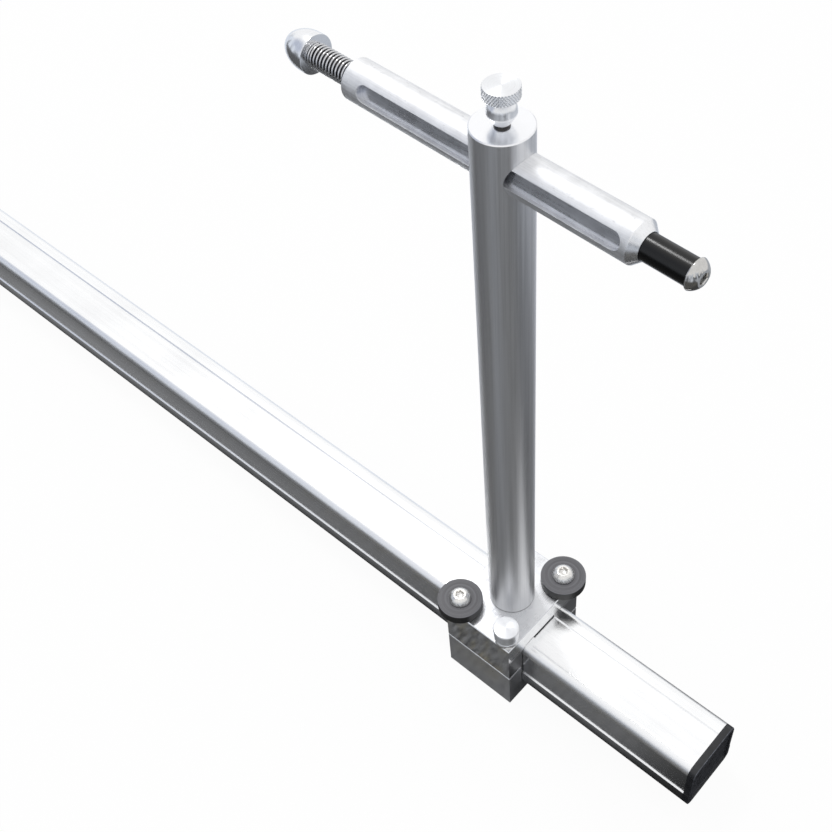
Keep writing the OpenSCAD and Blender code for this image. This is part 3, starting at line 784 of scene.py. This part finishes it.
def button_head(radius, height, sizes):
    """Profile of a socket head on z = 0: seat, rim, ball-shaped crown, flat and hexagon socket."""
    rim, flat, flats = sizes.head_rim * height, sizes.head_flat * radius, sizes.socket
    crown = height - rim
    drop = (radius**2 - flat**2 - crown**2) / (2 * crown)
    brow = arc((0, rim - drop), math.hypot(radius, drop), math.atan2(drop, radius),
               math.atan2(drop + crown, flat), 16)
    land = flats / math.sqrt(3) + 3 * TENTH
    floor = height - sizes.socket_depth
    return ([(0, 0), (0.96 * radius, 0), (0.985 * radius, TENTH), (radius, 4 * TENTH)] + brow
            + [(max(land, 0.97 * flat), height), (land, height),
               (flats + 2 * TENTH, height, "hex"), (flats, height - 1.5 * TENTH, "hex"),
               (flats, floor + 2 * TENTH, "hex"), (flats - 3 * TENTH, floor, "hex"),
               (flats * 0.3, floor - 5 * TENTH), (0, floor - 7 * TENTH)])


def apply_modifiers(piece):
    """Replaces a piece's mesh by the one its modifiers give."""
    bpy.context.view_layer.update()
    result = bpy.data.meshes.new_from_object(
        piece.evaluated_get(bpy.context.evaluated_depsgraph_get()))
    piece.modifiers.clear()
    old, piece.data = piece.data, result
    bpy.data.meshes.remove(old)


def cut_away(piece, cutter, width):
    """Cuts a cutter out of a piece, then breaks the edges that are sharper than 30 degrees."""
    cut = piece.modifiers.new("cut", "BOOLEAN")
    cut.operation, cut.object, cut.solver = "DIFFERENCE", cutter, "EXACT"
    soft = piece.modifiers.new("soft edge", "BEVEL")
    soft.width, soft.segments = width, 3
    soft.limit_method, soft.angle_limit = "ANGLE", math.radians(30)
    apply_modifiers(piece)
    bpy.data.objects.remove(cutter)


def both_ends(name, node, maker, place, finish=None, smooth_angle=35, cutter=None):
    """Makes the piece that stands for a node at either end of the bar, and rides on its body.
    place is the near one's; finish is a variant of the node's; cutter is a maker and a width."""
    for end, turn in ENDS.items():
        cad_node = f"{end}_{node}"
        piece = new_piece(f"{end}_{name}", maker, smooth_angle)
        if cutter:
            cut_away(piece, new_piece("cutter", cutter[0]), cutter[1])
        piece.matrix_world = turn @ place
        piece.data.materials.clear()
        piece.data.materials.append(finish_for(finish or SLOTS[cad_node]))
        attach(piece, BODIES[cad_node])
        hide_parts(cad_node)


# Operators


class TOEBAR_OT_carried_nodes(Operator):
    """Give the bar, blocks, posts, studs, washers, bushes and rods of the CAD their finishes"""

    bl_idname = "toebar.carried_nodes"
    bl_label = "Finish the bar, blocks and posts"

    def execute(self, context):
        for node, piece in frame["nodes"].items():
            finish = finish_for("smooth_block" if node.endswith("_keeper") else SLOTS[node])
            if not piece.material_slots:
                piece.data.materials.append(finish)
            for holder in piece.material_slots:
                holder.material = finish
        return {"FINISHED"}


class TOEBAR_OT_end_caps(Operator):
    """Build the moulded end caps with their raised frame and panel"""

    bl_idname = "toebar.end_caps"
    bl_label = "Build the end caps"

    def execute(self, context):
        sizes = context.scene.toe_bar_sizes
        low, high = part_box("bar")
        thickness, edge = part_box("near_end_cap")[1].x - high.x, sizes.cap_bevel
        outline, middle = self.outline(sizes), Vector((0, (high.z - low.z) / 2))
        stations = [(0, 0)] + arc((edge, thickness - edge), edge, math.pi, QUARTER, 4)
        body = [[(x, *(middle + (Vector(p) - middle) * (1 - inset / high.y))) for p in outline]
                for inset, x in stations]
        panel = self.panel(sizes)
        hollow = [[(x, *p) for p in panel] for x in (thickness - sizes.cap_panel, 3 * thickness)]
        both_ends("moulded_cap", "end_cap", lambda bm: skin(bm, body),
                  Matrix.Translation((high.x, 0, low.z)),
                  cutter=(lambda bm: skin(bm, hollow), sizes.panel_edge))
        return {"FINISHED"}

    def outline(self, sizes):
        """The cap's outline as (y, z) points: the bar's section without its channels."""
        wide, height = box_size("bar").y / 2, box_size("bar").z
        half, foot, top = wide - sizes.ledge, sizes.foot_radius, sizes.top_radius
        right = arc((wide - foot, foot), foot, -QUARTER, 0, 12)
        right += [(wide, sizes.ledge_height), (half, sizes.ledge_height)]
        right += arc((half - top, height - top), top, 0, QUARTER, 12)
        return right + [(-y, z) for y, z in reversed(right)]

    def panel(self, sizes):
        """The panel's outline as (y, z) points: a frame's width inside the cap's."""
        size, inset = box_size("bar"), sizes.cap_frame + sizes.panel_corner
        across, foot, top = size.y / 2 - inset, inset, size.z - inset
        corners = ((across, top), (-across, top), (-across, foot), (across, foot))
        return [point for k, corner in enumerate(corners)
                for point in arc(corner, sizes.panel_corner, k * QUARTER, (k + 1) * QUARTER, 6)]


class TOEBAR_OT_bumper_discs(Operator):
    """Turn the bumper discs and the button-headed screws that hold them"""

    bl_idname = "toebar.bumper_discs"
    bl_label = "Build the bumper discs and their screws"

    def execute(self, context):
        sizes = context.scene.toe_bar_sizes
        for which in ("rear", "front"):
            self.disc(sizes, which)
        self.screws(sizes)
        return {"FINISHED"}

    def disc(self, sizes, which):
        node = "near_disc_" + which
        size = box_size(node)
        radius, height, ease = size.x / 2, size.z, 2 * TENTH
        bore = self.bore(node, box_centre(node))
        profile = softened([
            (bore, ease, 0), (bore + ease, 0, 0), (radius, 0, sizes.disc_edge),
            (radius, height, sizes.disc_edge), (bore + ease, height, 0),
            (bore, height - ease, 0), (bore, ease, 0)])
        both_ends("turned_disc_" + which, "disc_" + which, lathe(profile), on_node(node))

    def screws(self, sizes):
        low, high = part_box("near_disc_screws")
        front = box_centre("near_disc_front")
        places = [Vector((way * (front.x - POST.x), way * front.y, 0)) for way in (-1, 1)]
        seat = high.z - sizes.head_height
        head = button_head(high.y - front.y, sizes.head_height, sizes)
        radius, foot = self.bore("near_disc_screws", front), low.z - seat
        shank = [(0, foot), (radius * 0.9, foot), (radius, foot + 8 * TENTH), (radius, TENTH),
                 (0, TENTH)]

        def both_screws(bm):
            for place in places:
                turn_profile(bm, head, sizes.lathe_sides, place)
                turn_profile(bm, shank, sizes.lathe_sides // 2, place)

        both_ends("button_screws", "disc_screws", both_screws,
                  Matrix.Translation((POST.x, 0, seat)))

    def bore(self, node, centre):
        """Smallest radius of a node's points about a vertical axis, but for those on the axis."""
        near_axis = 0.002
        reach = [(v.co - centre).xy.length for v in frame["nodes"][node].data.vertices]
        return min(r for r in reach if r > near_axis)


class TOEBAR_OT_clamp_knobs(Operator):
    """Turn the bright knobs of the clamp screws"""

    bl_idname = "toebar.clamp_knobs"
    bl_label = "Build the clamp knobs"

    def execute(self, context):
        for which in ("front", "rear"):
            node = "clamp_knob_" + which
            size = box_size("near_" + node)
            r, height = size.x / 2, size.z
            profile = softened(
                [(0, 0, 0)] + [(p * r, q * height, soft * r) for p, q, soft in CLAMP_KNOB]
                + [(0.09 * r, height - TENTH / 2, 0.03 * r), (0, height - 3 * TENTH, 0)])
            both_ends("turned_knob_" + which, node, lathe(profile), on_node("near_" + node),
                      "brushed_turned")
        return {"FINISHED"}


class TOEBAR_OT_thumb_screws(Operator):
    """Turn and knurl the thumb screws' heads"""

    bl_idname = "toebar.thumb_screws"
    bl_label = "Build the thumb screws"

    def execute(self, context):
        sizes = context.scene.toe_bar_sizes
        low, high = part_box("near_thumb_head")
        head_r, top = (high.x - low.x) / 2, high.z - low.z
        collar_r, edge = sizes.thumb_collar / 2, sizes.edge
        base, rows = top - sizes.thumb_head, 20
        foot, band = base + edge, sizes.thumb_head - 2 * edge
        profile = softened(
            [(0, 0, 0)] + [(p * collar_r, q * base, soft * collar_r) for p, q, soft in COLLAR])
        profile += [(head_r - 1.2 * edge, base), (head_r - edge, base)]
        first_row = len(profile)
        profile += [(head_r, foot + band * k / rows) for k in range(rows + 1)]
        profile += [(head_r - edge, top), (head_r - 3 * edge, top), (0, top)]
        columns = round(rows / sizes.knurl_lead)
        around, depth = sizes.knurl_teeth * columns, sizes.knurl_depth

        def knurled(r, z, angle):
            """Radius lowered by two crossing sets of grooves, one column across for each row."""
            if r < head_r - MERGED or z < base:
                return r
            row, column = (z - foot) / band * rows, angle / (2 * math.pi) * around
            rise = [abs(((column + way * row) / columns) % 1 * 2 - 1) for way in (-1, 1)]
            return r - depth * (1 - min(rise))

        def fold(row, column):
            """Folds a face along the groove or ridge that crosses it, which so stays straight."""
            row -= first_row
            if not 0 <= row < rows:
                return None
            return 0 if (column - row) % (columns // 2) == 0 else 1

        both_ends("knurled_head", "thumb_head",
                  lambda bm: turn_profile(bm, profile, around, radius_at=knurled, fold_at=fold),
                  Matrix.Translation((POST.x, 0, low.z)), smooth_angle=28)
        return {"FINISHED"}


class TOEBAR_OT_arms(Operator):
    """Turn the arms and mill their slots"""

    bl_idname = "toebar.arms"
    bl_label = "Build the arms"

    def execute(self, context):
        sizes = context.scene.toe_bar_sizes
        rear, nose = along_arm("near_arm")
        radius = box_size("near_arm").z / 2
        edge, fit = sizes.edge, sizes.running_fit
        bore = box_size("near_plunger_rod").z / 2 + fit
        sleeve_bore = box_size("near_plunger_sleeve").z / 2 + fit
        shoulder = along_arm("near_plunger_sleeve")[0] - 6 * fit
        outside = softened([
            (radius - 2 * edge, rear, 0), (radius, rear + 2 * edge, edge),
            (radius, nose - sizes.nose_length, edge), (sizes.nose_end / 2, nose, edge / 2),
            (sleeve_bore + 2 * fit, nose, 0)])
        inside = [(sleeve_bore, nose - 2 * fit), (sleeve_bore, shoulder), (bore, shoulder),
                  (bore, rear)]
        slot = self.slot(sizes, rear, nose, radius)
        both_ends("milled_arm", "arm", lathe([(bore, rear)] + outside + inside), on_arm(0),
                  cutter=(lambda bm: skin(bm, slot), sizes.slot_edge))
        return {"FINISHED"}

    def slot(self, sizes, rear, nose, radius):
        """Loops of a long round-ended bar that stands in the slot; +X is down on the arm."""
        half = sizes.slot_width / 2
        start, stop = rear + sizes.slot_rear + half, nose - sizes.slot_front - half
        outline = (arc((start, 0), half, 3 * QUARTER, QUARTER, 18)
                   + arc((stop, 0), half, QUARTER, -QUARTER, 18))
        tilt = Matrix.Rotation(-sizes.slot_tilt, 3, "Z")
        return [[tilt @ Vector((across, depth, along)) for along, across in outline]
                for depth in (sizes.slot_depth - radius, -1.5 * radius)]


class TOEBAR_OT_plungers(Operator):
    """Turn the black sleeves, the contact tips and the ball knobs"""

    bl_idname = "toebar.plungers"
    bl_label = "Build the plungers"

    def execute(self, context):
        sizes = context.scene.toe_bar_sizes
        back, front = along_arm("near_plunger_sleeve")
        r, length = box_size("near_plunger_sleeve").z / 2, front - back
        sleeve = softened([(0, 0, 0), (r, 0, sizes.edge), (r, length, sizes.edge),
                           (0, length, 0)])
        both_ends("turned_sleeve", "plunger_sleeve", lathe(sleeve), on_arm(back),
                  "polished_acetal")
        height = along_arm("near_contact_tip")[1] - front
        tip = button_head(box_size("near_contact_tip").z / 2, height, sizes)
        both_ends("domed_tip", "contact_tip", lathe(tip), on_arm(front), "polished_steel")
        both_ends("turned_ball_knob", "ball_knob", lathe(self.knob(sizes)),
                  on_arm(along_arm("near_ball_knob")[1]), "polished_turned")
        return {"FINISHED"}

    def knob(self, sizes):
        """Profile of the ball knob, backwards from its face: foot, shoulder arc and crown arc."""
        back, face = along_arm("near_ball_knob")
        r, length = box_size("near_ball_knob").z / 2, face - back
        foot, crown = sizes.knob_foot, sizes.knob_crown
        rise = length - foot - crown
        shoulder = (r * r + rise * rise - crown * crown) / (2 * (r - crown))
        meet = math.asin(rise / (shoulder - crown))
        return ([(0, 0), (r - 4 * TENTH, 0), (r - TENTH, -TENTH), (r, -4 * TENTH)]
                + arc((r - shoulder, -foot), shoulder, 0, -meet, 14)
                + arc((0, -foot - rise), crown, -meet, -QUARTER, 14)[1:-1]
                + [(0, -length)])


class TOEBAR_OT_springs(Operator):
    """Wind the plungers' springs"""

    bl_idname = "toebar.springs"
    bl_label = "Build the springs"

    def execute(self, context):
        back, front = along_arm("near_spring")
        length = front - back
        wound = self.wound(context.scene.toe_bar_sizes, length)
        both_ends("wound_spring", "spring", lambda bm: skin(bm, wound), on_arm(back))
        for end, turn in ENDS.items():
            joint = next(j for j in frame["joints"] if j["name"] == end + "_plunger_slide")
            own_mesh(bpy.data.objects[end + "_wound_spring"], joint["name"],
                      axis=Vector(joint["axis"]), anchor=(turn @ on_arm(back)).translation,
                      keep=1 - joint["range_m"][1] / length)
        return {"FINISHED"}

    def wound(self, sizes, length):
        """Rings of points along the wire of one spring."""
        wire, turns, sides = sizes.wire, sizes.spring_turns, 12
        coil, bend = box_size("near_spring").z / 2 - wire / 2, 0.9 * wire
        first, last = wire + bend, length - wire - bend
        around, steps = 2 * math.pi * turns, turns * 48
        start = math.pi + bend / coil
        stations = [(first + (last - first) * k / steps, start + around * k / steps)
                    for k in range(steps + 1)]
        # Each end closes: the last turn but a little lies flat against what it presses on
        pitch, fade, curl = (last - first) / turns, 40, 1.6
        drop = first - wire / 2
        closing = [(2 * math.pi * drop / pitch * curl * k / fade,
                    drop * (1 - (1 - k / fade) ** curl)) for k in range(1, fade + 1)]
        stations = ([(first - d, start - a) for a, d in reversed(closing)] + stations
                    + [(last + d, start + around + a) for a, d in closing])
        path = [Vector((coil * math.cos(a), coil * math.sin(a), z)) for z, a in stations]
        rings = []
        for i, (point, (z, angle)) in enumerate(zip(path, stations)):
            ahead = (path[min(i + 1, len(path) - 1)] - path[max(i - 1, 0)]).normalized()
            out = Vector((math.cos(angle), math.sin(angle), 0))
            out = (out - ahead * out.dot(ahead)).normalized()
            side = ahead.cross(out)
            rings.append([point + across * out + up * side for across, up in
                          arc((0, 0), wire / 2, 0, 2 * math.pi, sides)[:-1]])
        return rings


class TOEBAR_OT_stage(Operator):
    """Lay the pale floor, set the light and stand the camera at the photograph's angle"""

    bl_idname = "toebar.stage"
    bl_label = "Set the stage"

    def execute(self, context):
        self.floor()
        self.ground_card(context.scene.toe_bar_colours)
        self.world(context.scene)
        self.lamps(context.scene.toe_bar_studio)
        self.camera(context.scene)
        context.scene.view_settings.view_transform = "Standard"
        return {"FINISHED"}

    def floor(self):
        """Pale floor that keeps the shadow."""
        reach, below = 12.0, 0.001
        floor = new_piece("floor", lambda bm: bmesh.ops.create_grid(bm, size=reach))
        floor.location = (0, 0, -below)
        floor.data.materials.append(pale_floor("floor_finish"))

    def ground_card(self, colours):
        """Dish that only gloss sees, with the ground and surroundings of the photograph."""
        dish = [(0, 0), (0.9, 0), (1.8, 0.01), (2.6, 0.1), (3.1, 0.4), (3.4, 1.0), (3.5, 2.2)]
        sides, below = 48, 0.0005
        card = new_piece("ground_card", lambda bm: turn_profile(bm, dish, sides))
        card.location = (0, 0, -below)
        card.data.materials.append(dark_ground(
            "ground_card_finish", tuple(colours.ground), tuple(colours.surround)))
        card.visible_camera = card.visible_diffuse = card.visible_shadow = False

    def world(self, scene):
        """White sky; polished metal finds it blue-grey low on the side away from the light."""
        f = Finish(scene.world or bpy.data.worlds.new("studio"))
        sky = f.node("ShaderNodeBackground", sockets={
            "Color": (1, 1, 1, 1), "Strength": scene.toe_bar_studio.sky})
        way = f.node("ShaderNodeTexCoord", output="Generated")
        toward = f.vector("DOT_PRODUCT", way, scene.toe_bar_studio.dull_way, output=1)
        gloss = f.node("ShaderNodeLightPath", output="Is Glossy Ray")
        colour = f.blend(f.between(toward, 0.84, 0.96) * gloss, (1.0, 1.0, 1.0),
                         tuple(scene.toe_bar_colours.sky))
        white = f.node("ShaderNodeBackground", sockets={"Color": colour, "Strength": 1.0})
        scene.world = f.mixed(f.shown_white(), sky, white, "ShaderNodeOutputWorld")

    def lamps(self, studio):
        """One round lamp high behind the arm, where the photograph's brightest light is."""
        lamp = bpy.data.objects.new("key", bpy.data.lights.new("key", "AREA"))
        lamp.data.shape, lamp.data.size = "DISK", studio.key_width
        lamp.data.energy = studio.key_power
        way = Vector(studio.key_way)
        aim = Vector((POST.x, 0, studio.key_height))
        lamp.location = aim + way.normalized() * studio.key_distance
        lamp.rotation_euler = way.to_track_quat("Z", "Y").to_euler()
        bpy.context.scene.collection.objects.link(lamp)

    def camera(self, scene):
        studio = scene.toe_bar_studio
        camera = bpy.data.objects.new("camera", bpy.data.cameras.new("camera"))
        turn = Vector(studio.camera_turn)
        seen = Matrix.Rotation(turn.length, 3, turn.normalized())
        camera.matrix_world = Matrix.Translation(
            Vector((POST.x, 0, PLATE_TOP)) + Vector(studio.camera_place)
        ) @ Matrix((seen[0], -seen[1], -seen[2])).transposed().to_4x4()
        camera.data.lens, camera.data.sensor_width = studio.lens, SENSOR
        camera.data.clip_start, camera.data.clip_end = 0.01, 60
        scene.collection.objects.link(camera)
        scene.camera = camera


class TOEBAR_PT_panel(Panel):
    """Lists the builders of the toe bar"""

    bl_label = "Toe alignment bar"
    bl_idname = "TOEBAR_PT_panel"
    bl_space_type = "VIEW_3D"
    bl_region_type = "UI"
    bl_category = "Toe bar"

    def draw(self, context):
        for builder in BUILDERS:
            self.layout.operator(builder.bl_idname)
        for group in (context.scene.toe_bar_sizes, context.scene.toe_bar_colours,
                      context.scene.toe_bar_studio):
            for name in group.__annotations__:
                self.layout.prop(group, name)


GROUPS = (ToeBarSizes, ToeBarColours, ToeBarStudio)
BUILDERS = (
    TOEBAR_OT_carried_nodes,
    TOEBAR_OT_end_caps,
    TOEBAR_OT_bumper_discs,
    TOEBAR_OT_clamp_knobs,
    TOEBAR_OT_thumb_screws,
    TOEBAR_OT_arms,
    TOEBAR_OT_plungers,
    TOEBAR_OT_springs,
    TOEBAR_OT_stage,
)


def register():
    for kind in GROUPS + BUILDERS + (TOEBAR_PT_panel,):
        bpy.utils.register_class(kind)
    bpy.types.Scene.toe_bar_sizes = PointerProperty(type=ToeBarSizes)
    bpy.types.Scene.toe_bar_colours = PointerProperty(type=ToeBarColours)
    bpy.types.Scene.toe_bar_studio = PointerProperty(type=ToeBarStudio)


def unregister():
    del bpy.types.Scene.toe_bar_studio
    del bpy.types.Scene.toe_bar_colours
    del bpy.types.Scene.toe_bar_sizes
    for kind in reversed(GROUPS + BUILDERS + (TOEBAR_PT_panel,)):
        bpy.utils.unregister_class(kind)


def main():
    register()
    bpy.ops.toebar.carried_nodes()
    bpy.ops.toebar.end_caps()
    bpy.ops.toebar.bumper_discs()
    bpy.ops.toebar.clamp_knobs()
    bpy.ops.toebar.thumb_screws()
    bpy.ops.toebar.arms()
    bpy.ops.toebar.plungers()
    bpy.ops.toebar.springs()
    bpy.ops.toebar.stage()


if __name__ == "__main__":
    main()
